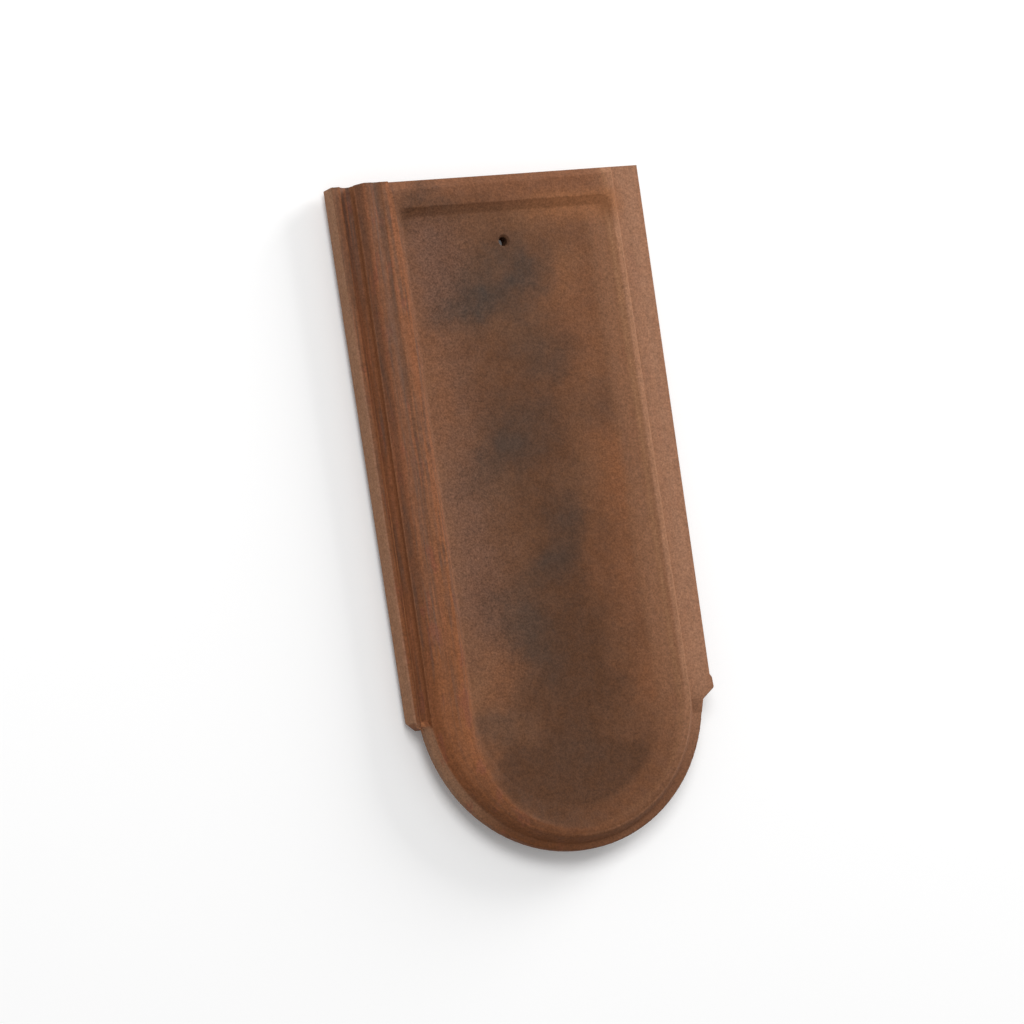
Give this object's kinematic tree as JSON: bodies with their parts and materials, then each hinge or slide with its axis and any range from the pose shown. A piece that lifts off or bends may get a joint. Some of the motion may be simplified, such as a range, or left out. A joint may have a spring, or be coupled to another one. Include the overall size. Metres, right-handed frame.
{
  "type": "interlocking clay roof tile with a half-round tail",
  "caption": "Pressed clay roof tile with a half-round tail, a shallow tray inside a raised border, side locks for its neighbours and one nail hole.",
  "frame": {"origin": "centre of the tile's footprint, on the plane that its nibs and tail rib stand on", "axes": "+X across the roof towards the cover flange, +Y up the slope to the head edge, +Z out of the roof"},
  "size_m": [0.224, 0.45, 0.0265],
  "materials": {
    "fired_clay": "matte, sandy, flame-clouded rust brown"
  },
  "bodies": {
    "root": {"roof_tile": "fired_clay"}
  },
  "joints": []
}
